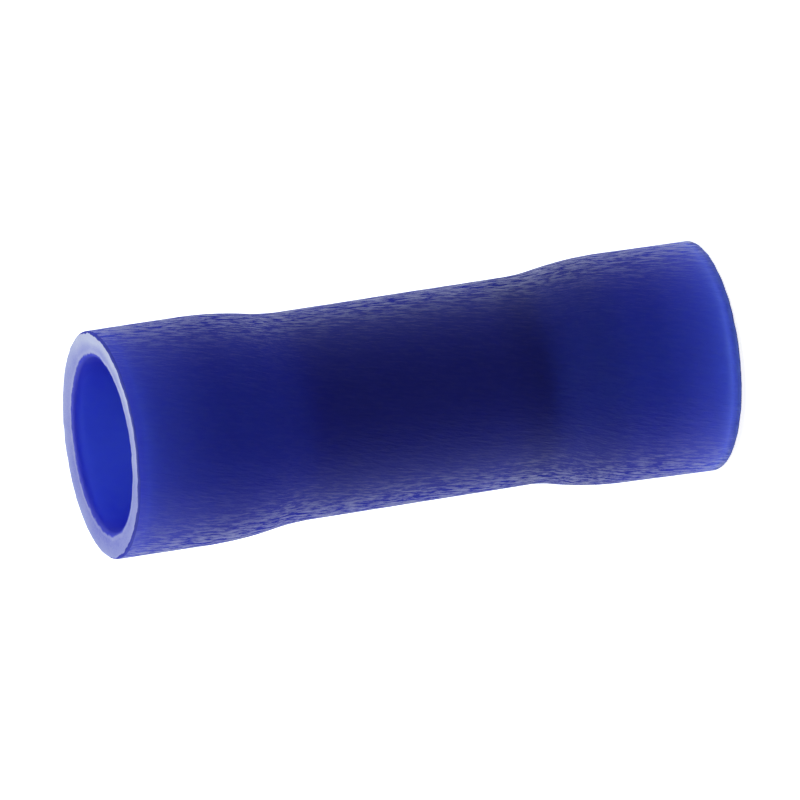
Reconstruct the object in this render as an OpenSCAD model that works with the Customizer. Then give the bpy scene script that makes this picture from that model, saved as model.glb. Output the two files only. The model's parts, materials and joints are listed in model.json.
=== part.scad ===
// Insulated parallel splice: a crimp barrel of tinned copper, held in a blue vinyl sleeve.
// The part stands on one mouth. Z is the common axis of sleeve and barrel, and z = 0 is the lower rim.

/* [Sleeve] */
// Length of the sleeve, from rim to rim
sleeve_len = 18.1; // [15:0.1:26]
// Wall of the bell, thinned where the hot tube was opened out
bell_wall = 0.75; // [0.55:0.05:1]
// Step on the radius from the bore of the neck out to the bore of the bell
bell_flare = 0.39; // [0.25:0.01:1]
// Wall of the neck round the barrel
neck_wall = 0.85; // [0.5:0.05:1.05]
// Length of the shoulder between bell and neck
shoulder_len = 3; // [2:0.1:4.5]
// Share of the shoulder that curves out of the bell before it turns into the neck
shoulder_split = 0.65; // [0.3:0.05:0.8]
// Rounding of the cut rim, outside
rim_round = 0.08; // [0.04:0.01:0.2]
// Break of the cut rim, inside
rim_break = 0.05; // [0.02:0.01:0.15]

/* [Barrel] */
// Outside diameter of the barrel
barrel_od = 4.2; // [3.4:0.1:6]
// Thickness of the rolled copper strip
barrel_wall = 0.9; // [0.6:0.05:1.1]
// Length of the barrel
barrel_len = 7.5; // [6:0.25:10]
// Length of the funnel at each end of the bore
entry_len = 0.45; // [0.2:0.05:0.6]
// Step on the radius that the funnel opens by
entry_step = 0.25; // [0.1:0.05:0.35]
// Rounding of the barrel's outer edges
barrel_round = 0.12; // [0.05:0.01:0.2]

/* [Serrations and seam] */
// Number of gripping grooves round the bore
groove_count = 5; // [1:1:5]
// Distance from one gripping groove to the next
groove_pitch = 1; // [0.5:0.05:1.5]
// Width of a groove at the wall of the bore
groove_w = 0.34; // [0.15:0.01:0.45]
// Depth of a groove
groove_depth = 0.12; // [0.05:0.01:0.2]
// Width of the notch that the brazed seam leaves, inside and outside
seam_w = 0.22; // [0.1:0.01:0.3]
// Depth of that notch
seam_depth = 0.09; // [0.03:0.01:0.15]

/* [Fits] */
// Gap on the radius between barrel and neck
grip_gap = 0.01; // [0.01:0.01:0.05]
// How far each end of the barrel reaches past the neck, into the shoulder
barrel_reach = 0.45; // [0:0.05:0.8]

/* [Hidden] */

$fn = 96;
// Steps along one shoulder curve and round one rounded edge
SHOULDER_STEPS = 16;
ROUND_STEPS = 4;
// How far a cutting shape runs past what it cuts
OVERCUT = 0.1;

barrel_r = barrel_od / 2;
bore_r = barrel_r - barrel_wall;
neck_bore_r = barrel_r + grip_gap;
neck_r = neck_bore_r + neck_wall;
bell_bore_r = neck_bore_r + bell_flare;
bell_r = bell_bore_r + bell_wall;

neck_len = barrel_len - 2 * barrel_reach;
mid_z = sleeve_len / 2;
neck_z0 = mid_z - neck_len / 2;
neck_z1 = mid_z + neck_len / 2;
bell_z0 = neck_z0 - shoulder_len;
bell_z1 = neck_z1 + shoulder_len;
barrel_z0 = mid_z - barrel_len / 2;
barrel_z1 = mid_z + barrel_len / 2;

// Share of the step from bell to neck that is done at share t of the shoulder's length.
// Two parabolas meet at the split with one slope, so the curve leaves both ends level.
function shoulder_share(t) =
    t < shoulder_split
        ? t * t / shoulder_split
        : 1 - (1 - t) * (1 - t) / (1 - shoulder_split);

// Points [radius, z] along a shoulder, from the bell at [r0, z0] to the neck at [r1, z1]
function shoulder(r0, z0, r1, z1) = [
    for (i = [0 : SHOULDER_STEPS])
        let (t = i / SHOULDER_STEPS)
            [r0 + (r1 - r0) * shoulder_share(t), z0 + (z1 - z0) * t]
];

// The same list of points, last one first
function back_to_front(points) = [for (i = [len(points) - 1 : -1 : 0]) points[i]];

// Points on a rounded corner of a given size about its centre [r, z], from angle a0 to a1
function corner(r, z, size, a0, a1) = [
    for (i = [0 : ROUND_STEPS])
        let (a = a0 + (a1 - a0) * i / ROUND_STEPS)
            [r + size * cos(a), z + size * sin(a)]
];

// Outside of the sleeve, from the lower rim up to the upper one
function sleeve_outside() = concat(
    corner(bell_r - rim_round, rim_round, rim_round, -90, 0),
    shoulder(bell_r, bell_z0, neck_r, neck_z0),
    back_to_front(shoulder(bell_r, bell_z1, neck_r, neck_z1)),
    corner(bell_r - rim_round, sleeve_len - rim_round, rim_round, 0, 90)
);

// Bore of the sleeve, from the upper rim down to the lower one
function sleeve_inside() = concat(
    [[bell_bore_r + rim_break, sleeve_len], [bell_bore_r, sleeve_len - rim_break]],
    shoulder(bell_bore_r, bell_z1, neck_bore_r, neck_z1),
    back_to_front(shoulder(bell_bore_r, bell_z0, neck_bore_r, neck_z0)),
    [[bell_bore_r, rim_break], [bell_bore_r + rim_break, 0]]
);

// One gripping groove of the bore, a V about its middle at z
function groove(z) = [
    [bore_r, z + groove_w / 2],
    [bore_r + groove_depth, z],
    [bore_r, z - groove_w / 2]
];

// All the gripping grooves, from the top one down
function grooves() = [
    for (i = [groove_count - 1 : -1 : 0])
        each groove(mid_z + (i - (groove_count - 1) / 2) * groove_pitch)
];

// Outside of the barrel, from its lower end up
function barrel_outside() = concat(
    corner(barrel_r - barrel_round, barrel_z0 + barrel_round, barrel_round, -90, 0),
    corner(barrel_r - barrel_round, barrel_z1 - barrel_round, barrel_round, 0, 90)
);

// Bore of the barrel, with a funnel at each end, from its upper end down
function barrel_inside() = concat(
    [[bore_r + entry_step, barrel_z1], [bore_r, barrel_z1 - entry_len]],
    grooves(),
    [[bore_r, barrel_z0 + entry_len], [bore_r + entry_step, barrel_z0]]
);

// A V notch along the whole barrel, its mouth on the radius r and its root towards root_r
module seam_notch(r, root_r) {
    past = r < root_r ? -OVERCUT : OVERCUT;
    half_w = seam_w / 2;
    slope = half_w / abs(root_r - r);
    translate([0, 0, barrel_z0 - OVERCUT])
        linear_extrude(height = barrel_len + 2 * OVERCUT)
            polygon([
                [root_r, 0],
                [r + past, half_w + slope * OVERCUT],
                [r + past, -half_w - slope * OVERCUT]
            ]);
}

// Vinyl tube with a bell at each mouth and a narrow neck that grips the barrel
module insulating_sleeve() {
    color("mediumblue")
        rotate_extrude()
            polygon(concat(sleeve_outside(), sleeve_inside()));
}

// Tinned copper strip, rolled to a tube and brazed along its seam, with grooves that grip the wires
module crimp_barrel() {
    color("silver")
        difference() {
            rotate_extrude()
                polygon(concat(barrel_outside(), barrel_inside()));
            seam_notch(barrel_r, barrel_r - seam_depth);
            seam_notch(bore_r, bore_r + seam_depth);
        }
}

insulating_sleeve();
crimp_barrel();
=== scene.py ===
"""The looks of a crimp splice: blue soft vinyl over a tinned copper barrel.

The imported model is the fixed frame. The sleeve is turned anew from the frame's own sizes, finer than the
construction and with the small faults of a drawn, flared and cut tube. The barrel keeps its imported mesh.
"""

import json
import math

import bpy
from mathutils import Matrix, Vector


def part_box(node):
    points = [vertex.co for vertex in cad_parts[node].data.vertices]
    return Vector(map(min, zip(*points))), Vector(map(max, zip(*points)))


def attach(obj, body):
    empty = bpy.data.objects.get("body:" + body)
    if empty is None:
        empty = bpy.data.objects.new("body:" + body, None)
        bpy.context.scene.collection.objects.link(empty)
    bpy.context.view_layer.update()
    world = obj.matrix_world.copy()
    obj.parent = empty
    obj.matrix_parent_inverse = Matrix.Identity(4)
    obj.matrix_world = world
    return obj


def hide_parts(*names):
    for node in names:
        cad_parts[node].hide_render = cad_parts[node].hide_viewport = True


bl_info = {
    "name": "Crimp splice",
    "version": (1, 0, 0),
    "blender": (4, 5, 0),
    "location": "View3D > Sidebar > Splice",
    "description": "Gives a crimp splice its vinyl sleeve, its tinned barrel and a light tent",
    "category": "Object",
}

MM = 0.001
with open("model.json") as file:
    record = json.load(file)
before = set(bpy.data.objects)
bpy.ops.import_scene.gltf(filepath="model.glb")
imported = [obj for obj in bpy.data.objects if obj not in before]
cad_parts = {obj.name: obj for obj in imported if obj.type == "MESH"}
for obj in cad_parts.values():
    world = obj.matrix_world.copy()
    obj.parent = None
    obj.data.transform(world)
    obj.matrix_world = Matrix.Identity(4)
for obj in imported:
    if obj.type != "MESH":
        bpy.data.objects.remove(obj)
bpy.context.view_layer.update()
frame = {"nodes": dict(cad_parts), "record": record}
SLEEVE_NODE = "insulating_sleeve"
BARREL_NODE = "crimp_barrel"
BODY = "root"

sleeve_low, sleeve_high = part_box(SLEEVE_NODE)
barrel_low, barrel_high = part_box(BARREL_NODE)
BORES = {
    mount["name"]: mount["dims"]["r_mm"] * MM
    for mount in frame["record"]["mounts"]
    if mount["kind"] == "bore"
}
SLEEVE_LENGTH = sleeve_high.z - sleeve_low.z
BELL_RADIUS = (sleeve_high.y - sleeve_low.y) / 2
BELL_BORE = BORES["wire_entry_upper"]
BARREL_RADIUS = (barrel_high.y - barrel_low.y) / 2
BARREL_LENGTH = barrel_high.z - barrel_low.z
MIDDLE = (sleeve_low.z + sleeve_high.z) / 2

# Distance between two rings of faces, along the outside and along the bore
OUTSIDE_STEP = 0.12 * MM
BORE_STEP = 0.3 * MM
# Steps round the rounding of a rim and across its cut face
ROUND_STEPS = 8
FACE_STEPS = 6
# Length of the stretch at each rim that is rounded and torn and has the looks of cut vinyl
RIM_SPACE = 0.3 * MM
# Attribute that says how far through the wall a point lies: 0 at the bore of a bell, 1 outside
THROUGH = "through_wall"
# Attribute that says how far below its rim a point lies, in metres
BELOW_RIM = "below_rim"

# Optics of soft PVC: how it bends light, and how far each colour wanders in it compared with blue
VINYL_IOR = 1.53
SCATTER_REACH = (0.66, 0.78, 1.0)
SCATTER_LENGTH = 3.4 * MM
# Roughness of the skin that the die leaves
SKIN_ROUGHNESS = 0.28
# Places of the two colours of a Mix node among its inputs, and of the mixed one among its outputs
MIX_A = 6
MIX_B = 7
MIX_RESULT = 2


def linear(colour):
    """The linear red, green, blue and alpha of an sRGB hex colour such as 2B3A7C."""
    parts = [int(colour[i : i + 2], 16) / 255 for i in (0, 2, 4)]
    return [c / 12.92 if c <= 0.04045 else ((c + 0.055) / 1.055) ** 2.4 for c in parts] + [1.0]


def add(tree, kind, inputs=None, **settings):
    """Adds a node. settings are its own; inputs gives a socket, by name or place, its value or source."""
    node = tree.nodes.new(kind)
    for name, value in settings.items():
        setattr(node, name, value)
    for key, value in (inputs or {}).items():
        if isinstance(value, bpy.types.NodeSocket):
            tree.links.new(value, node.inputs[key])
        else:
            node.inputs[key].default_value = value
    return node


def length(name, description, millimetres):
    """A setting that is a length."""
    return bpy.props.FloatProperty(
        name=name, description=description, default=millimetres * MM, subtype="DISTANCE", unit="LENGTH",
        precision=6)


def share(name, description, value):
    """A setting between none and all."""
    return bpy.props.FloatProperty(
        name=name, description=description, default=value, subtype="FACTOR", min=0, max=1)


def strength(name, description, value):
    """A setting that is a brightness."""
    return bpy.props.FloatProperty(name=name, description=description, default=value, min=0)


def angle(name, description, degrees):
    """A setting that is an angle."""
    return bpy.props.FloatProperty(
        name=name, description=description, default=math.radians(degrees), subtype="ANGLE")


def tint(name, description, colour):
    """A setting that is a colour, given in sRGB hex."""
    return bpy.props.FloatVectorProperty(
        name=name, description=description, default=linear(colour)[:3], subtype="COLOR", min=0, max=1)


class SleeveSettings(bpy.types.PropertyGroup):
    """Sizes, faults and colours of the vinyl sleeve."""

    neck_wall: length("Neck Wall", "Wall of the neck round the barrel", 0.85)
    grip_gap: length("Grip Gap", "Gap between barrel and neck", 0.01)
    barrel_reach: length("Barrel Reach", "How far the barrel reaches past the neck", 0.45)
    shoulder_length: length("Shoulder Length", "Length of the curve from bell to neck", 3.0)
    shoulder_split: share("Shoulder Split", "Part of the shoulder that curves out of the bell", 0.65)
    rim_round: length("Rim Rounding", "Rounding of the outer edge of a cut end", 0.06)
    rim_break: length("Rim Break", "Rounding of the inner edge of a cut end", 0.13)
    dish: length("Dish", "How much deeper a cut end is at its bore than outside", 0.04)
    segments: bpy.props.IntProperty(
        name="Segments", description="Faces round the tube", default=380, min=32, max=512)
    ripple: length("Ripple", "Height of the waves that drawing leaves in the wall", 0.015)
    ripple_size: length("Ripple Size", "Distance from one wave to the next", 0.5)
    grain: length("Grain", "Height of the drawn grain of the skin", 0.008)
    grain_width: length("Grain Width", "Distance across from one ridge of the grain to the next", 0.2)
    grain_length: length("Grain Length", "Length of a ridge of the grain", 0.45)
    tear: length("Tear", "Height of the jags that the knife left in a rim", 0.04)
    tear_size: length("Tear Size", "Distance from one jag to the next", 0.3)
    upper_lean: length("Upper Lean", "How far the upper mouth stands aside, towards +X", 0.027)
    lower_lean: length("Lower Lean", "How far the lower mouth stands aside, towards +X", -0.107)
    upper_swell: length("Upper Swell", "What flaring added to the radius of the upper mouth", -0.015)
    lower_swell: length("Lower Swell", "What flaring added to the radius of the lower mouth", 0.035)
    upper_near: length("Upper Cut, +X", "How far up the slant moves the upper bell on its +X side", 0.067)
    upper_far: length("Upper Cut, -X", "How far up the slant moves the upper bell on its -X side", 0.164)
    lower_near: length("Lower Cut, +X", "How far up the slant moves the lower bell on its +X side", 0.0)
    lower_far: length("Lower Cut, -X", "How far up the slant moves the lower bell on its -X side", 0.216)
    bend_start: length("Bend Start", "Distance from the middle at which the bells' faults start", 3.3)
    slant_full: length("Slant Full", "Distance from the middle at which a bell has its whole slant", 4.3)
    streak_width: length("Streak Width", "Distance across from one drawn line to the next", 0.09)
    streak_length: length("Streak Length", "Length of a drawn line", 0.45)
    streak_depth: length("Streak Depth", "Depth of the drawn lines", 0.035)
    streak_lean: angle("Streak Lean", "How far the drawn lines wind round the tube", 14)
    streak_colour: tint("Streaks", "Colour of the raised lines where light grazes them", "DCE0FF")
    # Painted light: how much paler the mouths are painted for the glow of light coming in at them
    upper_mouth_glow: share("Upper Mouth Glow", "How much paler flaring made the upper mouth", 0.62)
    lower_mouth_glow: share("Lower Mouth Glow", "How much paler flaring made the lower mouth", 0.94)
    # Painted shade: how dark the torn edge with its painted shadow, and the shade painted below it, are at
    # the upper rim
    upper_burr_and_shade: share("Upper Burr and Shade", "How dark the torn vinyl is just below the upper rim", 0.5)
    colour: tint("Vinyl", "Colour of the dyed vinyl", "4246C6")
    # Painted shade: a darker blue in the lower shoulder, where less light comes through the wall
    shoulder_shade_colour: tint("Painted Shoulder Shade", "Colour where the wall is thickest, in the lower shoulder", "3D41B0")
    # Painted light: the colour at the mouths stands in for the glow of light coming in at them
    mouth_glow_colour: tint("Painted Mouth Glow", "Colour at the mouths, where stretching whitened the vinyl", "6A72FF")
    cut_colour: tint("Cut Face", "Colour of the vinyl where the knife whitened it", "D8DBF6")
    # Torn edge and painted shade: the thin dark line round a cut face, partly its shadow, and the shade
    # painted below the rims
    burr_and_shade_colour: tint("Burr and Shade", "Colour of the thin torn edge round a cut face", "20204A")


def shoulder_share(t, split):
    """How much of the step from bell to neck is done at share t of the shoulder."""
    if t < split:
        return t * t / split
    return 1 - (1 - t) ** 2 / (1 - split)


def wall_points(bell, neck, step, s):
    """[radius, height] up one side of the wall, from the sleeve's middle to the rounding of its rim."""
    neck_end = BARREL_LENGTH / 2 - s.barrel_reach
    top = SLEEVE_LENGTH / 2 - RIM_SPACE
    count = round(top / step)
    points = []
    for i in range(count + 1):
        height = top * i / count
        up = min(max((height - neck_end) / s.shoulder_length, 0), 1)
        points.append((bell + (neck - bell) * shoulder_share(1 - up, s.shoulder_split), height))
    return points


def corner_points(radius, height, size, start, end):
    """[radius, height] round a corner about its centre, from angle start to angle end in degrees."""
    angles = [math.radians(start + (end - start) * i / ROUND_STEPS) for i in range(ROUND_STEPS + 1)]
    return [(radius + size * math.cos(a), height + size * math.sin(a)) for a in angles]


def rim_points(s):
    """[radius, height] over the upper rim, from the outside to the bore; the knife left its face dished."""
    top = SLEEVE_LENGTH / 2
    outer = BELL_RADIUS - s.rim_round
    inner = BELL_BORE + s.rim_break
    face = [
        (outer + (inner - outer) * i / FACE_STEPS, top - s.dish * i / FACE_STEPS)
        for i in range(1, FACE_STEPS)
    ]
    return (
        corner_points(outer, top - s.rim_round, s.rim_round, 0, 90)
        + face
        + corner_points(inner, top - s.dish - s.rim_break, s.rim_break, 90, 180)
    )


def sleeve_outline(s):
    """The closed outline of the wall: down the outside, up the bore, and down again to the start."""
    neck_bore = BARREL_RADIUS + s.grip_gap
    outside = wall_points(BELL_RADIUS, neck_bore + s.neck_wall, OUTSIDE_STEP, s)
    inside = wall_points(BELL_BORE, neck_bore, BORE_STEP, s)
    half = outside + rim_points(s) + inside[::-1]
    lower = [(radius, MIDDLE - height) for radius, height in half]
    upper = [(radius, MIDDLE + height) for radius, height in half[-2:0:-1]]
    return lower + upper


def outline_object(name, points, turn_radius):
    """A closed curve for Curve to Mesh, which draws its heights downwards, so they go in negative."""
    curve = bpy.data.curves.new(name, "CURVE")
    curve.dimensions = "3D"
    spline = curve.splines.new("POLY")
    spline.points.add(len(points) - 1)
    for point, (radius, height) in zip(spline.points, points):
        point.co = (radius - turn_radius, -height, 0, 1)
    spline.use_cyclic_u = True
    piece = bpy.data.objects.new(name, curve)
    bpy.context.scene.collection.objects.link(piece)
    return piece


def socket_ids(tree):
    """Identifier of each named input of a node tree."""
    return {i.name: i.identifier for i in tree.interface.items_tree if getattr(i, "in_out", "") == "INPUT"}


def in_cells(tree, place, across, along):
    """A place counted in cells of one size across the tube and another along it."""
    cell = add(tree, "ShaderNodeCombineXYZ", {"X": across, "Y": across, "Z": along}).outputs[0]
    return add(tree, "ShaderNodeVectorMath", {0: place, 1: cell}, operation="DIVIDE").outputs[0]


def skin_relief(tree, given, place):
    """Height of the skin over the true tube: the broad ripple and the drawn grain of the cooled vinyl."""
    # Scale of the waves along each axis, which draws them out to five times their width
    drawn_out = (1, 1, 0.2)
    spread = in_cells(tree, place, given["Ripple Size"], given["Ripple Size"])
    drawn = add(tree, "ShaderNodeVectorMath", {0: spread, 1: drawn_out}, operation="MULTIPLY").outputs[0]
    ripple = add(tree, "ShaderNodeTexNoise", {"Vector": drawn, "Scale": 1.0, "Detail": 1.0}).outputs[0]
    centred = add(tree, "ShaderNodeMath", {0: ripple, 1: 0.5}, operation="SUBTRACT").outputs[0]
    waves = add(tree, "ShaderNodeMath", {0: centred, 1: given["Ripple"]}, operation="MULTIPLY").outputs[0]

    spread = in_cells(tree, place, given["Grain Width"], given["Grain Length"])
    grain = add(tree, "ShaderNodeTexNoise", {
        "Vector": spread, "Scale": 1.0, "Detail": 2.0, "Roughness": 0.6, "Distortion": 0.3}).outputs[0]
    centred = add(tree, "ShaderNodeMath", {0: grain, 1: 0.5}, operation="SUBTRACT").outputs[0]
    return add(tree, "ShaderNodeMath", {
        0: centred, 1: given["Grain"], 2: waves}, operation="MULTIPLY_ADD").outputs[0]


def torn_rim(tree, given, place, below):
    """How far a rim stands up or down at a place, where the knife tore more than it cut."""
    spread = in_cells(tree, place, given["Tear Size"], given["Tear Size"])
    jags = add(tree, "ShaderNodeTexNoise", {"Vector": spread, "Scale": 1.0, "Detail": 2.0}).outputs[0]
    centred = add(tree, "ShaderNodeMath", {0: jags, 1: 0.5}, operation="SUBTRACT").outputs[0]
    near = add(tree, "ShaderNodeMapRange", {
        "Value": below, "From Max": RIM_SPACE, "To Min": given["Tear"], "To Max": 0.0}).outputs[0]
    return add(tree, "ShaderNodeMath", {0: centred, 1: near}, operation="MULTIPLY").outputs[0]


def shift_from_true(tree, given, place, level, height, below):
    """How far each point moves from the true tube: skin, torn rim, and the bell's lean, swell and slant."""
    x = add(tree, "ShaderNodeSeparateXYZ", {0: place}).outputs["X"]
    other_side = add(tree, "ShaderNodeMath", {
        0: given["Turn Radius"], 1: -1.0}, operation="MULTIPLY").outputs[0]
    aside = 0.0
    rise = torn_rim(tree, given, place, below)
    swell = skin_relief(tree, given, place)
    for end, way in (("Upper", 1.0), ("Lower", -1.0)):
        out = add(tree, "ShaderNodeMath", {0: height, 1: way}, operation="MULTIPLY").outputs[0]
        part = add(tree, "ShaderNodeMapRange", {
            "Value": out, "From Min": given["Bend Start"], "From Max": given["Half Length"]}).outputs[0]
        tilted = add(tree, "ShaderNodeMapRange", {
            "Value": out, "From Min": given["Bend Start"], "From Max": given["Slant Full"]}).outputs[0]
        slant = add(tree, "ShaderNodeMapRange", {
            "Value": x, "From Min": given["Turn Radius"], "From Max": other_side,
            "To Min": given[end + " Near"], "To Max": given[end + " Far"]}).outputs[0]
        aside = add(tree, "ShaderNodeMath", {
            0: part, 1: given[end + " Lean"], 2: aside}, operation="MULTIPLY_ADD").outputs[0]
        rise = add(tree, "ShaderNodeMath", {
            0: tilted, 1: slant, 2: rise}, operation="MULTIPLY_ADD").outputs[0]
        swell = add(tree, "ShaderNodeMath", {
            0: part, 1: given[end + " Swell"], 2: swell}, operation="MULTIPLY_ADD").outputs[0]
    moved = add(tree, "ShaderNodeCombineXYZ", {"X": aside, "Z": rise}).outputs[0]
    outwards = add(tree, "ShaderNodeVectorMath", {0: level}, operation="NORMALIZE").outputs[0]
    return add(tree, "ShaderNodeVectorMath", {
        0: outwards, 1: swell, 2: moved}, operation="MULTIPLY_ADD").outputs[0]


def turned_tube_tree():
    """Turns an outline about Z, gives it its skin, bends and cuts the bells and sets both materials."""
    tree = bpy.data.node_groups.new("Turned Tube", "GeometryNodeTree")
    for name, kind in (
        ("Outline", "Geometry"), ("Turn Radius", "Float"), ("Bore Radius", "Float"), ("Segments", "Int"),
        ("Middle", "Float"), ("Half Length", "Float"), ("Ripple", "Float"), ("Ripple Size", "Float"),
        ("Grain", "Float"), ("Grain Width", "Float"), ("Grain Length", "Float"), ("Bend Start", "Float"),
        ("Slant Full", "Float"), ("Tear", "Float"), ("Tear Size", "Float"),
        ("Upper Lean", "Float"), ("Upper Swell", "Float"), ("Upper Near", "Float"), ("Upper Far", "Float"),
        ("Lower Lean", "Float"), ("Lower Swell", "Float"), ("Lower Near", "Float"), ("Lower Far", "Float"),
        ("Wall", "Material"), ("Cut Face", "Material"),
    ):
        tree.interface.new_socket(name, in_out="INPUT", socket_type="NodeSocket" + kind)
    tree.interface.new_socket("Tube", in_out="OUTPUT", socket_type="NodeSocketGeometry")
    given = add(tree, "NodeGroupInput").outputs
    circle = add(tree, "GeometryNodeCurvePrimitiveCircle", {
        "Resolution": given["Segments"], "Radius": given["Turn Radius"]})
    tube = add(tree, "GeometryNodeCurveToMesh", {
        "Curve": circle.outputs["Curve"], "Profile Curve": given["Outline"]})

    place = add(tree, "GeometryNodeInputPosition").outputs["Position"]
    z = add(tree, "ShaderNodeSeparateXYZ", {0: place}).outputs["Z"]
    height = add(tree, "ShaderNodeMath", {0: z, 1: given["Middle"]}, operation="SUBTRACT").outputs[0]
    away = add(tree, "ShaderNodeMath", {0: height}, operation="ABSOLUTE").outputs[0]
    below = add(tree, "ShaderNodeMath", {
        0: given["Half Length"], 1: away}, operation="SUBTRACT").outputs[0]
    level = add(tree, "ShaderNodeVectorMath", {0: place, 1: (1, 1, 0)}, operation="MULTIPLY").outputs[0]
    radius = add(tree, "ShaderNodeVectorMath", {0: level}, operation="LENGTH").outputs["Value"]
    through = add(tree, "ShaderNodeMapRange", {
        "Value": radius, "From Min": given["Bore Radius"], "From Max": given["Turn Radius"]}).outputs[0]

    marked = add(tree, "GeometryNodeStoreNamedAttribute", {
        "Geometry": tube.outputs[0], "Name": THROUGH, "Value": through}, data_type="FLOAT", domain="POINT")
    marked = add(tree, "GeometryNodeStoreNamedAttribute", {
        "Geometry": marked.outputs[0], "Name": BELOW_RIM, "Value": below}, data_type="FLOAT", domain="POINT")
    shaped = add(tree, "GeometryNodeSetPosition", {
        "Geometry": marked.outputs[0], "Offset": shift_from_true(tree, given, place, level, height, below)})
    smooth = add(tree, "GeometryNodeSetShadeSmooth", {"Geometry": shaped.outputs[0]})

    kept = add(tree, "GeometryNodeInputNamedAttribute", {"Name": BELOW_RIM}, data_type="FLOAT").outputs[0]
    at_rim = add(tree, "FunctionNodeCompare", {0: kept, 1: RIM_SPACE}, operation="LESS_THAN").outputs[0]
    whole = add(tree, "GeometryNodeRealizeInstances", {"Geometry": smooth.outputs[0]})
    walled = add(tree, "GeometryNodeSetMaterial", {
        "Geometry": whole.outputs[0], "Material": given["Wall"]})
    cut = add(tree, "GeometryNodeSetMaterial", {
        "Geometry": walled.outputs[0], "Selection": at_rim, "Material": given["Cut Face"]})
    add(tree, "NodeGroupOutput", {0: cut.outputs[0]})
    return tree


def as_plain_mesh(maker, name):
    """The maker's evaluated shape as a mesh object without modifiers; the maker goes."""
    graph = bpy.context.evaluated_depsgraph_get()
    mesh = bpy.data.meshes.new_from_object(maker.evaluated_get(graph), depsgraph=graph)
    mesh.name = name
    piece = bpy.data.objects.new(name, mesh)
    bpy.context.scene.collection.objects.link(piece)
    bpy.data.objects.remove(maker)
    return piece


def new_material(name):
    """An empty node material and its tree."""
    mat = bpy.data.materials.new(name)
    mat.use_nodes = True
    mat.node_tree.nodes.clear()
    return mat, mat.node_tree


def in_millimetres(tree):
    """The place on the piece, in millimetres of its own frame."""
    place = add(tree, "ShaderNodeTexCoord").outputs["Object"]
    return add(tree, "ShaderNodeVectorMath", {0: place, "Scale": 1 / MM}, operation="SCALE").outputs[0]


def drawn_lines(tree, place, s):
    """Pattern of the fine lines that the die leaves: short, broken, and wound a little round the tube."""
    height = add(tree, "ShaderNodeSeparateXYZ", {0: place}).outputs["Z"]
    winding = -math.tan(s.streak_lean) / (BELL_RADIUS / MM)
    turn = add(tree, "ShaderNodeMath", {0: height, 1: winding}, operation="MULTIPLY").outputs[0]
    wound = add(tree, "ShaderNodeVectorRotate", {"Vector": place, "Angle": turn}, rotation_type="Z_AXIS")
    cells = (MM / s.streak_width, MM / s.streak_width, MM / s.streak_length)
    stretched = add(tree, "ShaderNodeVectorMath", {0: wound.outputs[0], 1: cells}, operation="MULTIPLY")
    return add(tree, "ShaderNodeTexNoise", {
        "Vector": stretched.outputs[0], "Scale": 1.0, "Detail": 3.0, "Roughness": 0.7}).outputs[0]


def drawn_skin(tree, place, worn, s):
    """Shader values of the drawn skin: raised pale lines outside, none in the bore or where it is worn.

    The lines catch light at flat angles only, so their sheen and gloss fade in towards the tube's sides.
    Light reaches less far in the vinyl next to a rim.
    """
    # Shares of the wall, from the bore out, between which the lines come in
    bore_skin, outer_skin = 0.3, 0.5
    # Heights of the pattern between which a line turns pale
    raised_from, raised_to = 0.46, 0.61
    # Turn of the skin away from the eye, 0 to 1, over which the lines come out, and how faint they start
    flat_from, flat_to, faint = 0.25, 0.65, 0.15
    # Gloss of the skin, and how much more of it a line has than the skin beside it
    gloss, gloss_change = 0.25, 0.5
    # How widely a line scatters the light that grazes it
    sheen_spread = 0.5
    # Share of its usual reach that light has at a rim
    least_reach = 0.2
    through = add(tree, "ShaderNodeAttribute", attribute_name=THROUGH).outputs["Fac"]
    outside = add(tree, "ShaderNodeMapRange", {
        "Value": through, "From Min": bore_skin, "From Max": outer_skin}).outputs[0]
    outside = add(tree, "ShaderNodeMath", {
        0: outside, 1: worn}, operation="SUBTRACT", use_clamp=True).outputs[0]
    lines = drawn_lines(tree, place, s)
    bump = add(tree, "ShaderNodeBump", {"Height": lines, "Distance": s.streak_depth, "Strength": outside})
    hairs = add(tree, "ShaderNodeMapRange", {
        "Value": lines, "From Min": raised_from, "From Max": raised_to, "To Max": outside}).outputs[0]
    facing = add(tree, "ShaderNodeLayerWeight", {"Blend": 0.5}).outputs["Facing"]
    flat = add(tree, "ShaderNodeMapRange", {
        "Value": facing, "From Min": flat_from, "From Max": flat_to, "To Min": faint},
        interpolation_type="SMOOTHSTEP").outputs[0]
    sheen = add(tree, "ShaderNodeMath", {0: hairs, 1: flat}, operation="MULTIPLY").outputs[0]
    centred = add(tree, "ShaderNodeMath", {0: hairs, 1: 0.5}, operation="SUBTRACT").outputs[0]
    change = add(tree, "ShaderNodeMath", {0: centred, 1: flat}, operation="MULTIPLY").outputs[0]
    shiny = add(tree, "ShaderNodeMath", {
        0: change, 1: gloss_change, 2: gloss}, operation="MULTIPLY_ADD").outputs[0]
    below = add(tree, "ShaderNodeAttribute", attribute_name=BELOW_RIM).outputs["Fac"]
    reach = add(tree, "ShaderNodeMapRange", {
        "Value": below, "From Max": RIM_SPACE, "To Min": least_reach * SCATTER_LENGTH,
        "To Max": SCATTER_LENGTH}).outputs[0]
    return {
        "Normal": bump.outputs[0], "IOR": VINYL_IOR, "Specular IOR Level": shiny,
        "Sheen Weight": sheen, "Sheen Roughness": sheen_spread, "Sheen Tint": (*s.streak_colour, 1),
        "Subsurface Radius": SCATTER_REACH, "Subsurface Scale": reach,
    }


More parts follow.
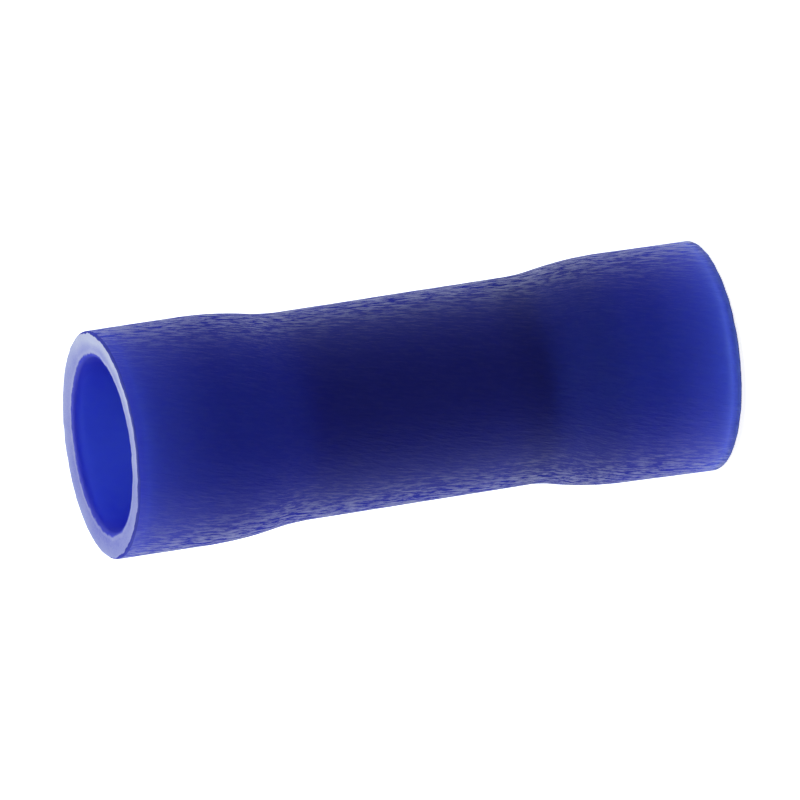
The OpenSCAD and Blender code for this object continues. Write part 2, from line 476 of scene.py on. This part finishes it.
def dyed_colour(tree, place, s):
    """Colour of the vinyl, with painted glow at the mouths and painted shade in the lower shoulder."""
    # Millimetres from the middle at which the painted glow of the mouths starts
    glow_start = 6.2
    # Heights in millimetres above the middle between which the painted shade of the lower shoulder comes in,
    # and between which it fades out again
    shade_from, shade_to, shade_fade_from, shade_fade_to = -1.8, -3.4, -4.8, -6.3
    # Share of the wall at which the skin starts, and how much of the skin's painted glow the bore has
    skin_start, bore_share = 0.9, 0.3
    height = add(tree, "ShaderNodeSeparateXYZ", {0: place}).outputs["Z"]
    height = add(tree, "ShaderNodeMath", {0: height, 1: MIDDLE / MM}, operation="SUBTRACT").outputs[0]
    through = add(tree, "ShaderNodeAttribute", attribute_name=THROUGH).outputs["Fac"]
    skin = add(tree, "ShaderNodeMapRange", {
        "Value": through, "From Min": skin_start, "To Min": bore_share}).outputs[0]
    paler = 0.0
    # Painted glow: each mouth turns paler towards its rim
    for way, most in ((1, s.upper_mouth_glow), (-1, s.lower_mouth_glow)):
        stretched = add(tree, "ShaderNodeMapRange", {
            "Value": height, "From Min": way * glow_start, "From Max": way * SLEEVE_LENGTH / 2 / MM,
            "To Max": most}, interpolation_type="SMOOTHSTEP").outputs[0]
        paler = add(tree, "ShaderNodeMath", {
            0: stretched, 1: skin, 2: paler}, operation="MULTIPLY_ADD").outputs[0]
    # Painted shade of the lower shoulder, which comes in below the middle and fades out again further down
    shade_comes_in = add(tree, "ShaderNodeMapRange", {
        "Value": height, "From Min": shade_from, "From Max": shade_to},
        interpolation_type="SMOOTHSTEP").outputs[0]
    thin = add(tree, "ShaderNodeMapRange", {
        "Value": height, "From Min": shade_fade_to, "From Max": shade_fade_from},
        interpolation_type="SMOOTHSTEP").outputs[0]
    deep = add(tree, "ShaderNodeMath", {0: shade_comes_in, 1: thin}, operation="MULTIPLY").outputs[0]
    base = add(tree, "ShaderNodeMix", {
        0: deep, MIX_A: (*s.colour, 1), MIX_B: (*s.shoulder_shade_colour, 1)}, data_type="RGBA").outputs[MIX_RESULT]
    return add(tree, "ShaderNodeMix", {
        0: paler, MIX_A: base, MIX_B: (*s.mouth_glow_colour, 1)}, data_type="RGBA").outputs[MIX_RESULT]


def vinyl_material(s):
    """Soft PVC, dyed blue and drawn to a tube.

    The eye sees a deep cloudy blue that glows where light comes through the wall, and pale hair lines
    along the tube where its skin is seen at a flat angle. The colour also carries painted glow at the
    mouths and painted shade in the lower shoulder.
    """
    mat, tree = new_material("Soft PVC, blue, drawn")
    place = in_millimetres(tree)
    shader = add(tree, "ShaderNodeBsdfPrincipled", {
        "Base Color": dyed_colour(tree, place, s), "Roughness": SKIN_ROUGHNESS,
        "Subsurface Weight": 1.0, **drawn_skin(tree, place, 0.0, s)})
    add(tree, "ShaderNodeOutputMaterial", {"Surface": shader.outputs[0]})
    return mat


def whitening(tree, place, through, torn):
    """How white the cut face is: whitened by the knife, with painted light on it.

    The white is cloudy and grainy, with fraying at the bore and a painted highlight along that edge.
    Painted light makes it lighter towards +X and adds a painted highlight band towards +X and -Y.
    """
    # White all over, and how much more of it the outside has than the bore
    evenly, outwards = 0.43, 0.3
    # Painted light: change of the white for each millimetre along X, Y and Z
    painted_side_light = (0.035, -0.015, 0)
    # Size in millimetres and strength of the clouds, and of the fine grain
    clouds = ((0.9, 0.4), (0.05, 0.35))
    # Shares of the wall between which the fraying at the bore and its painted highlight come in,
    # and how much white they add
    inner_white_from, inner_white_to, fray_and_highlight_white = 0.34, 0.2, 0.16
    # Side of the painted highlight, and the millimetres towards it between which its white comes in
    highlight_side = (0.8, -0.6, 0)
    highlight_from, highlight_to = 0.6, 3.2
    # Shares of the wall, from the bore out, between which the painted highlight comes in, and how much it
    # adds
    highlight_band_from, highlight_band_to, highlight_white = 0.35, 0.7, 0.3
    # Painted light: lighter towards +X
    side = add(tree, "ShaderNodeVectorMath", {0: place, 1: painted_side_light}, operation="DOT_PRODUCT")
    white = add(tree, "ShaderNodeMath", {0: side.outputs["Value"], 1: evenly}).outputs[0]
    white = add(tree, "ShaderNodeMath", {
        0: through, 1: outwards, 2: white}, operation="MULTIPLY_ADD").outputs[0]
    for size, amount in clouds:
        cloud = add(tree, "ShaderNodeTexNoise", {"Vector": place, "Scale": 1 / size}).outputs[0]
        centred = add(tree, "ShaderNodeMath", {0: cloud, 1: 0.5}, operation="SUBTRACT").outputs[0]
        white = add(tree, "ShaderNodeMath", {
            0: centred, 1: amount, 2: white}, operation="MULTIPLY_ADD").outputs[0]
    # Fraying at the bore, whitened, with a painted highlight along that edge
    fray_and_highlight = add(tree, "ShaderNodeMapRange", {
        "Value": torn, "From Min": inner_white_from, "From Max": inner_white_to, "To Max": fray_and_highlight_white},
        interpolation_type="SMOOTHSTEP").outputs[0]
    white = add(tree, "ShaderNodeMath", {0: fray_and_highlight, 1: white}).outputs[0]
    # Painted highlight towards +X and -Y on the outer part of the face
    toward_highlight = add(tree, "ShaderNodeVectorMath", {0: place, 1: highlight_side}, operation="DOT_PRODUCT")
    near = add(tree, "ShaderNodeMapRange", {
        "Value": toward_highlight.outputs["Value"], "From Min": highlight_from, "From Max": highlight_to},
        interpolation_type="SMOOTHSTEP").outputs[0]
    highlight_band = add(tree, "ShaderNodeMapRange", {
        "Value": through, "From Min": highlight_band_from, "From Max": highlight_band_to, "To Max": highlight_white},
        interpolation_type="SMOOTHSTEP").outputs[0]
    return add(tree, "ShaderNodeMath", {0: near, 1: highlight_band, 2: white}, operation="MULTIPLY_ADD").outputs[0]


def burr_shadow_line(tree, below, lower_mouth, s):
    """The thin dark line along a rim, torn vinyl with its painted shadow, which is wider at the lower mouth.
    """
    line_end = add(tree, "ShaderNodeMath", {
        0: lower_mouth, 1: s.rim_round, 2: s.rim_round}, operation="MULTIPLY_ADD").outputs[0]
    return add(tree, "ShaderNodeMapRange", {
        "Value": below, "From Min": s.rim_round / 2, "From Max": line_end,
        "To Min": 1.0, "To Max": 0.0}).outputs[0]


def burr_and_shade_share(tree, torn, outer, below, line, lower_mouth, s):
    """How much dark shows: torn vinyl with its painted shadow along each rim,
    and a painted shade that fades below it.

    The lower mouth has them all over its wall, the upper one outside and, fainter, at its bore.
    """
    # Shares of the wall between which the dark edge outside comes in
    outer_from, outer_to = 0.84, 0.88
    # Shares of the wall between which the painted shade at the bore's edge goes, and its strength beside the
    # outer one
    bore_from, bore_to, bore_burr_and_shade = 0.02, 0.1, 0.3
    # How dark the shade is below the upper rim, and what is added to that below the lower one
    upper_shade, lower_more = 0.25, 0.35
    start = add(tree, "ShaderNodeMapRange", {
        "Value": outer, "From Min": outer_from, "From Max": outer_to, "To Max": s.upper_burr_and_shade},
        interpolation_type="SMOOTHSTEP").outputs[0]
    start = add(tree, "ShaderNodeMapRange", {
        "Value": torn, "From Min": bore_from, "From Max": bore_to, "To Min": bore_burr_and_shade * s.upper_burr_and_shade,
        "To Max": start}, interpolation_type="SMOOTHSTEP").outputs[0]
    start = add(tree, "ShaderNodeMath", {0: start, 1: lower_mouth}, operation="MAXIMUM").outputs[0]
    darkest = add(tree, "ShaderNodeMath", {
        0: lower_mouth, 1: lower_more, 2: upper_shade}, operation="MULTIPLY_ADD").outputs[0]
    shade = add(tree, "ShaderNodeMapRange", {
        "Value": below, "From Min": 2 * s.rim_round, "From Max": RIM_SPACE, "To Min": darkest,
        "To Max": 0.0}).outputs[0]
    end = add(tree, "ShaderNodeMath", {0: line, 1: shade}, operation="MAXIMUM").outputs[0]
    return add(tree, "ShaderNodeMath", {0: start, 1: end}, operation="MULTIPLY").outputs[0]


def cut_material(s):
    """The same vinyl where the knife went through.

    The eye sees a matt face, whitened and grainy, with painted light on it and a thin dark torn edge
    round its outside with painted shade along it. It fades into the skin of the bore and of the outside.
    """
    # Size in millimetres of the tears, and the share of the wall that they reach over
    tear_size, tear_share = 0.3, 0.2
    # Share of the wall that stays clean where the knife came out, and the millimetres along Y over which
    # that share comes in
    blade_out = 0.2
    clean_from, clean_to = -1.0, 2.0
    # Shares of the wall between which the white comes in at the bore, tears off outside, and has to end
    inside_from, inside_to = 0.1, 0.19
    outside_from, outside_to = 0.83, 0.88
    face_from, face_to = 0.95, 0.99
    # White at which the vinyl is fully crushed, how much light still enters it, and how matt it is
    full_white, least_clear, matt_roughness = 0.3, 0.2, 0.5
    mat, tree = new_material("Soft PVC, knife-cut edge")
    place = in_millimetres(tree)
    parts = add(tree, "ShaderNodeSeparateXYZ", {0: place}).outputs
    through = add(tree, "ShaderNodeAttribute", attribute_name=THROUGH).outputs["Fac"]
    below = add(tree, "ShaderNodeAttribute", attribute_name=BELOW_RIM).outputs["Fac"]
    tear = add(tree, "ShaderNodeTexNoise", {"Vector": place, "Scale": 1 / tear_size}).outputs[0]
    centred = add(tree, "ShaderNodeMath", {0: tear, 1: 0.5}, operation="SUBTRACT").outputs[0]
    torn = add(tree, "ShaderNodeMath", {
        0: centred, 1: tear_share, 2: through}, operation="MULTIPLY_ADD").outputs[0]
    lower_mouth = add(tree, "ShaderNodeMath", {
        0: parts["Z"], 1: MIDDLE / MM}, operation="LESS_THAN").outputs[0]
    clean_side = add(tree, "ShaderNodeMapRange", {
        "Value": parts["Y"], "From Min": clean_from, "From Max": clean_to, "To Max": blade_out}).outputs[0]
    outer = add(tree, "ShaderNodeMath", {0: torn, 1: clean_side}, operation="SUBTRACT").outputs[0]

    inside = add(tree, "ShaderNodeMapRange", {
        "Value": torn, "From Min": inside_from, "From Max": inside_to},
        interpolation_type="SMOOTHSTEP").outputs[0]
    outside = add(tree, "ShaderNodeMapRange", {
        "Value": outer, "From Min": outside_from, "From Max": outside_to, "To Min": 1.0, "To Max": 0.0},
        interpolation_type="SMOOTHSTEP").outputs[0]
    on_face = add(tree, "ShaderNodeMapRange", {
        "Value": through, "From Min": face_from, "From Max": face_to,
        "To Min": 1.0, "To Max": 0.0}).outputs[0]
    white = whitening(tree, place, through, torn)
    for part in (inside, outside, on_face):
        white = add(tree, "ShaderNodeMath", {0: white, 1: part}, operation="MULTIPLY").outputs[0]

    # The dark torn edge with its painted shadow, and the painted shade below the rims
    line = burr_shadow_line(tree, below, lower_mouth, s)
    burr_and_shade = burr_and_shade_share(tree, torn, outer, below, line, lower_mouth, s)
    face = add(tree, "ShaderNodeMix", {
        0: white, MIX_A: dyed_colour(tree, place, s), MIX_B: (*s.cut_colour, 1)}, data_type="RGBA")
    edged = add(tree, "ShaderNodeMix", {
        0: burr_and_shade, MIX_A: face.outputs[MIX_RESULT], MIX_B: (*s.burr_and_shade_colour, 1)}, data_type="RGBA")
    clear = add(tree, "ShaderNodeMapRange", {
        "Value": white, "From Max": full_white, "To Min": 1.0, "To Max": least_clear},
        interpolation_type="SMOOTHSTEP").outputs[0]
    matt = add(tree, "ShaderNodeMapRange", {
        "Value": white, "From Max": full_white, "To Min": SKIN_ROUGHNESS, "To Max": matt_roughness})
    shader = add(tree, "ShaderNodeBsdfPrincipled", {
        "Base Color": edged.outputs[MIX_RESULT], "Roughness": matt.outputs[0],
        "Subsurface Weight": clear, **drawn_skin(tree, place, line, s)})
    add(tree, "ShaderNodeOutputMaterial", {"Surface": shader.outputs[0]})
    return mat


class SPLICE_OT_make_sleeve(bpy.types.Operator):
    """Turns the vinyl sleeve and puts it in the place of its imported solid"""

    bl_idname = "splice.make_sleeve"
    bl_label = "Make Sleeve"

    def execute(self, context):
        s = context.scene.splice_sleeve
        maker = outline_object("sleeve_outline", sleeve_outline(s), BELL_RADIUS)
        tree = turned_tube_tree()
        ids = socket_ids(tree)
        turned = maker.modifiers.new("Turned Tube", "NODES")
        turned.node_group = tree
        for name, value in {
            "Turn Radius": BELL_RADIUS, "Bore Radius": BELL_BORE, "Segments": s.segments,
            "Middle": MIDDLE, "Half Length": SLEEVE_LENGTH / 2,
            "Ripple": s.ripple, "Ripple Size": s.ripple_size,
            "Grain": s.grain, "Grain Width": s.grain_width, "Grain Length": s.grain_length,
            "Bend Start": s.bend_start, "Slant Full": s.slant_full,
            "Tear": s.tear, "Tear Size": s.tear_size,
            "Upper Lean": s.upper_lean, "Upper Swell": s.upper_swell,
            "Upper Near": s.upper_near, "Upper Far": s.upper_far,
            "Lower Lean": s.lower_lean, "Lower Swell": s.lower_swell,
            "Lower Near": s.lower_near, "Lower Far": s.lower_far,
            "Wall": vinyl_material(s), "Cut Face": cut_material(s),
        }.items():
            turned[ids[name]] = value
        sleeve = as_plain_mesh(maker, "vinyl_sleeve")
        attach(sleeve, BODY)
        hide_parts(SLEEVE_NODE)
        return {"FINISHED"}


class BarrelSettings(bpy.types.PropertyGroup):
    """Finish of the crimp barrel."""

    tin_colour: tint("Tin", "Colour of the tin plate", "BDBCB8")
    dull_colour: tint("Dull Tin", "Colour of the tin where it is dull", "9C9B97")
    braze_colour: tint("Braze", "Colour of the brazed seam, which tin covers thinly", "C2B491")
    cloud_size: length("Cloud Size", "Size of the dull clouds in the tin", 0.8)
    line_pitch: length("Line Pitch", "Distance from one rolled line of the strip to the next", 0.07)
    line_depth: length("Line Depth", "Depth of the rolled lines", 0.004)
    seam_width: length("Seam Width", "Width of the brazed seam", 0.3)


def seam_share(tree, place, cloud, s):
    """How much braze shows: all of it along the seam, which is on the +X side, with an uneven edge."""
    # How far inwards the clouds move the edge, as a share of half the seam
    uneven = 0.4
    half = s.seam_width / MM / 2
    parts = add(tree, "ShaderNodeSeparateXYZ", {0: place}).outputs
    aside = add(tree, "ShaderNodeMath", {0: parts["Y"]}, operation="ABSOLUTE").outputs[0]
    aside = add(tree, "ShaderNodeMath", {
        0: cloud, 1: uneven * half, 2: aside}, operation="MULTIPLY_ADD").outputs[0]
    across = add(tree, "ShaderNodeMapRange", {
        "Value": aside, "From Min": half, "From Max": 2 * half, "To Min": 1.0, "To Max": 0.0}).outputs[0]
    plus_x = add(tree, "ShaderNodeMath", {0: parts["X"], 1: 0.0}, operation="GREATER_THAN").outputs[0]
    return add(tree, "ShaderNodeMath", {0: across, 1: plus_x}, operation="MULTIPLY").outputs[0]


def tin_material(s):
    """Copper strip, rolled, brazed and tin plated.

    The eye sees a soft silvery white metal with dull clouds, faint lines round it from the rolling mill,
    and a warmer stripe where the brazed seam shows through the tin. Real rolled lines are too fine to
    show, so they are drawn as coarse as they need to be.
    """
    # How many times longer a rolled line is than the distance to the next one
    line_stretch = 20.0
    # Cloudiness between which the tin turns dull, and the roughness of bright and of dull tin
    dull_from, dull_to = 0.3, 0.7
    bright_roughness, dull_roughness = 0.26, 0.46
    mat, tree = new_material("Tin plate on rolled copper")
    place = in_millimetres(tree)
    cloud = add(tree, "ShaderNodeTexNoise", {
        "Vector": place, "Scale": MM / s.cloud_size, "Detail": 4.0, "Roughness": 0.6}).outputs[0]
    along_line = MM / s.line_pitch / line_stretch
    cells = (along_line, along_line, MM / s.line_pitch)
    stretched = add(tree, "ShaderNodeVectorMath", {0: place, 1: cells}, operation="MULTIPLY").outputs[0]
    lines = add(tree, "ShaderNodeTexNoise", {
        "Vector": stretched, "Scale": 1.0, "Detail": 2.0}).outputs[0]
    bump = add(tree, "ShaderNodeBump", {"Height": lines, "Distance": s.line_depth})
    tin = add(tree, "ShaderNodeMix", {
        0: cloud, MIX_A: (*s.tin_colour, 1), MIX_B: (*s.dull_colour, 1)}, data_type="RGBA")
    colour = add(tree, "ShaderNodeMix", {
        0: seam_share(tree, place, cloud, s), MIX_A: tin.outputs[MIX_RESULT], MIX_B: (*s.braze_colour, 1)},
        data_type="RGBA")
    dull = add(tree, "ShaderNodeMapRange", {
        "Value": cloud, "From Min": dull_from, "From Max": dull_to,
        "To Min": bright_roughness, "To Max": dull_roughness})
    shader = add(tree, "ShaderNodeBsdfPrincipled", {
        "Base Color": colour.outputs[MIX_RESULT], "Metallic": 1.0, "Roughness": dull.outputs[0],
        "Normal": bump.outputs[0]})
    add(tree, "ShaderNodeOutputMaterial", {"Surface": shader.outputs[0]})
    return mat


class SPLICE_OT_finish_barrel(bpy.types.Operator):
    """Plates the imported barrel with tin"""

    bl_idname = "splice.finish_barrel"
    bl_label = "Finish Barrel"

    def execute(self, context):
        barrel = frame["nodes"][BARREL_NODE]
        barrel.data.materials.clear()
        barrel.data.materials.append(tin_material(context.scene.splice_barrel))
        return {"FINISHED"}


class StageSettings(bpy.types.PropertyGroup):
    """Light tent and camera."""

    elevation: angle("Elevation", "Camera above the horizon", 18.9)
    roll: angle("Roll", "Camera turned about its own line of sight", 98.94)
    lens: bpy.props.FloatProperty(
        name="Lens", description="Focal length in millimetres", default=720.0, subtype="DISTANCE_CAMERA")
    field: length("Field", "Width of the picture at the splice", 22.58)
    aim_aside: length("Aim Aside", "How far beside the axis the camera looks, towards +X", -0.025)
    aim_up: length("Aim Up", "How far above the sleeve's middle the camera looks", 0.182)
    back_light: strength("Back Light", "Light from behind, which shines through the wall", 0.36)
    corner_light: strength("Corner Light", "Light from behind and the +X side", 0.21)
    plus_x_light: strength("+X Light", "Light from the +X side", 0.365)
    minus_x_light: strength("-X Light", "Light from the -X side", 0.82)
    top_light: strength("Top Light", "Light from above, on the cut face and down the bore", 1.85)
    under_light: strength("Under Light", "Light from below and behind, for the lower bell's glow", 2.15)
    floor_light: strength("Floor Light", "Light from straight below, on the lower cut face", 1.2)
    fill_light: strength("Fill Light", "Dim light from all sides", 0.057)
    tent_colour: tint("Tent", "Colour of the tent's light", "EFF6FF")


def tent_light(tree, s):
    """How bright the tent is towards each side: soft lobes over wide or narrow cones, on a dim fill."""
    towards = add(tree, "ShaderNodeTexCoord").outputs["Generated"]
    total = s.fill_light
    # Brightness of each lobe, the side it is on, and the cosine of the angle at which it ends
    for bright, side, edge in (
        (s.back_light, (0, 1, 0), 0.35),
        (s.corner_light, (0.6, 0.75, -0.3), 0.8),
        (s.plus_x_light, (0.92, 0.4, 0), 0.5),
        (s.minus_x_light, (-0.92, 0.4, 0), 0.5),
        (s.top_light, (0, 0.15, 0.99), 0.6),
        (s.under_light, (0, 0.45, -0.89), 0.7),
        (s.floor_light, (0, 0, -1), 0.8),
    ):
        facing = add(tree, "ShaderNodeVectorMath", {0: towards, 1: side}, operation="DOT_PRODUCT")
        lobe = add(tree, "ShaderNodeMapRange", {
            "Value": facing.outputs["Value"], "From Min": edge, "To Max": bright},
            interpolation_type="SMOOTHSTEP").outputs[0]
        total = add(tree, "ShaderNodeMath", {0: total, 1: lobe}).outputs[0]
    return total


def hang_tent(scene, s):
    """Puts the light tent round the scene; the camera sees plain white in its place."""
    white = (1, 1, 1, 1)
    seen_strength = 1.2
    world = bpy.data.worlds.new("Light tent")
    scene.world = world
    world.use_nodes = True
    tree = world.node_tree
    tree.nodes.clear()
    tent = add(tree, "ShaderNodeBackground", {
        "Color": (*s.tent_colour, 1), "Strength": tent_light(tree, s)})
    seen = add(tree, "ShaderNodeBackground", {"Color": white, "Strength": seen_strength})
    path = add(tree, "ShaderNodeLightPath")
    mix = add(tree, "ShaderNodeMixShader", {
        0: path.outputs["Is Camera Ray"], 1: tent.outputs[0], 2: seen.outputs[0]})
    add(tree, "ShaderNodeOutputWorld", {"Surface": mix.outputs[0]})


def lay_floor(scene):
    """Lays the floor, a matt white card that glows a little, so that it comes out white.

    Only the camera sees it, because light has to reach the splice from below.
    """
    # Half the side of the card, in metres
    half = 3.0
    card_colour = "F4F4F2"
    card_roughness = 0.8
    glow = 0.9
    mesh = bpy.data.meshes.new("floor")
    corners = [(-half, -half, 0), (half, -half, 0), (half, half, 0), (-half, half, 0)]
    mesh.from_pydata(corners, [], [(0, 1, 2, 3)])
    floor = bpy.data.objects.new("floor", mesh)
    scene.collection.objects.link(floor)
    mat, tree = new_material("White card")
    shader = add(tree, "ShaderNodeBsdfPrincipled", {
        "Base Color": linear(card_colour), "Roughness": card_roughness,
        "Emission Color": (1, 1, 1, 1), "Emission Strength": glow})
    add(tree, "ShaderNodeOutputMaterial", {"Surface": shader.outputs[0]})
    mesh.materials.append(mat)
    floor.visible_diffuse = False
    floor.visible_glossy = False
    floor.visible_transmission = False
    floor.visible_shadow = False


def set_camera(scene, s):
    """Sets the camera in front of the splice, on the -Y side and a little above it, and rolls it."""
    # Width of the sensor in millimetres
    sensor = 36.0
    data = bpy.data.cameras.new("camera")
    data.lens = s.lens
    data.sensor_width = sensor
    camera = bpy.data.objects.new("camera", data)
    scene.collection.objects.link(camera)
    back = Vector((0, -math.cos(s.elevation), math.sin(s.elevation)))
    right = Vector((1, 0, 0))
    up = Vector((0, math.sin(s.elevation), math.cos(s.elevation)))
    turned_right = right * math.cos(s.roll) - up * math.sin(s.roll)
    turned_up = right * math.sin(s.roll) + up * math.cos(s.roll)
    turn = Matrix((turned_right, turned_up, back)).transposed()
    aim = Vector((s.aim_aside, 0, MIDDLE + s.aim_up))
    camera.matrix_world = Matrix.Translation(aim + back * (s.field * s.lens / sensor)) @ turn.to_4x4()
    scene.camera = camera


class SPLICE_OT_set_stage(bpy.types.Operator):
    """Sets the light tent, the floor and the camera"""

    bl_idname = "splice.set_stage"
    bl_label = "Set Stage"

    def execute(self, context):
        scene = context.scene
        scene.view_settings.view_transform = "Standard"
        hang_tent(scene, scene.splice_stage)
        lay_floor(scene)
        set_camera(scene, scene.splice_stage)
        return {"FINISHED"}


class SPLICE_PT_panel(bpy.types.Panel):
    """Lists the steps, each with its settings"""

    bl_idname = "SPLICE_PT_panel"
    bl_label = "Crimp Splice"
    bl_space_type = "VIEW_3D"
    bl_region_type = "UI"
    bl_category = "Splice"

    def draw(self, context):
        scene = context.scene
        for step, settings in zip(STEPS, (scene.splice_sleeve, scene.splice_barrel, scene.splice_stage)):
            box = self.layout.box()
            box.operator(step.bl_idname)
            for name in settings.__annotations__:
                box.prop(settings, name)


STEPS = (SPLICE_OT_make_sleeve, SPLICE_OT_finish_barrel, SPLICE_OT_set_stage)
CLASSES = (SleeveSettings, BarrelSettings, StageSettings, *STEPS, SPLICE_PT_panel)


def register():
    """Registers the classes and hangs the settings on the scene."""
    for cls in CLASSES:
        bpy.utils.register_class(cls)
    bpy.types.Scene.splice_sleeve = bpy.props.PointerProperty(type=SleeveSettings)
    bpy.types.Scene.splice_barrel = bpy.props.PointerProperty(type=BarrelSettings)
    bpy.types.Scene.splice_stage = bpy.props.PointerProperty(type=StageSettings)


def unregister():
    """Takes the settings and classes away again."""
    del bpy.types.Scene.splice_stage
    del bpy.types.Scene.splice_barrel
    del bpy.types.Scene.splice_sleeve
    for cls in reversed(CLASSES):
        bpy.utils.unregister_class(cls)


def main():
    """Makes every piece in order."""
    register()
    bpy.ops.splice.make_sleeve()
    bpy.ops.splice.finish_barrel()
    bpy.ops.splice.set_stage()


if __name__ == "__main__":
    main()
